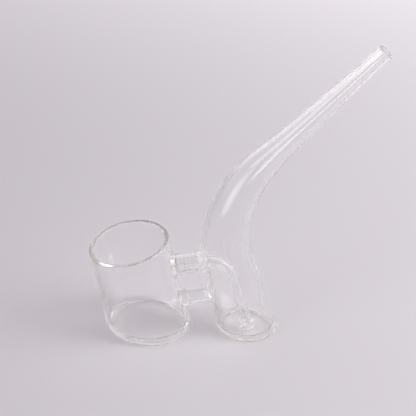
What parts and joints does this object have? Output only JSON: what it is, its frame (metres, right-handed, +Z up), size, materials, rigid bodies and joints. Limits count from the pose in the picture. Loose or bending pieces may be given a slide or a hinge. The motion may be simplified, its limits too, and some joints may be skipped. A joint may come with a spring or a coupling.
{
  "type": "glass bubbler",
  "caption": "Clear glass bubbler: open cup for a cylindrical device, bridged to a water chamber with a downstem, bulb and bent mouth stem.",
  "frame": {"origin": "middle of the overall box, on the surface that the two feet stand on", "axes": "+Z up, +X from the cup towards the mouth, all the axes of cup, chamber and stem in the plane y = 0"},
  "size_m": [0.141, 0.042, 0.167],
  "materials": {
    "clear_tube": "clear, fire-polished borosilicate tube and rod",
    "foot_glass": "clear pressed foot, faintly blue-green where it is thick",
    "weld_glass": "clear flame-worked glass with a rippled, sparkling surface"
  },
  "bodies": {
    "root": {"cup_wall": "clear_tube", "cup_floor": "foot_glass", "chamber_wall": "clear_tube", "chamber_floor": "foot_glass", "neck_bend": "clear_tube", "mouth_stem": "clear_tube", "mouth_end": "clear_tube", "bridge_weld_cup": "weld_glass", "bridge_tube": "clear_tube", "bridge_weld_chamber": "weld_glass", "brace_weld_cup": "weld_glass", "brace_rod": "clear_tube", "brace_weld_chamber": "weld_glass", "downstem": "clear_tube", "diffuser_bulb": "weld_glass"}
  },
  "joints": []
}
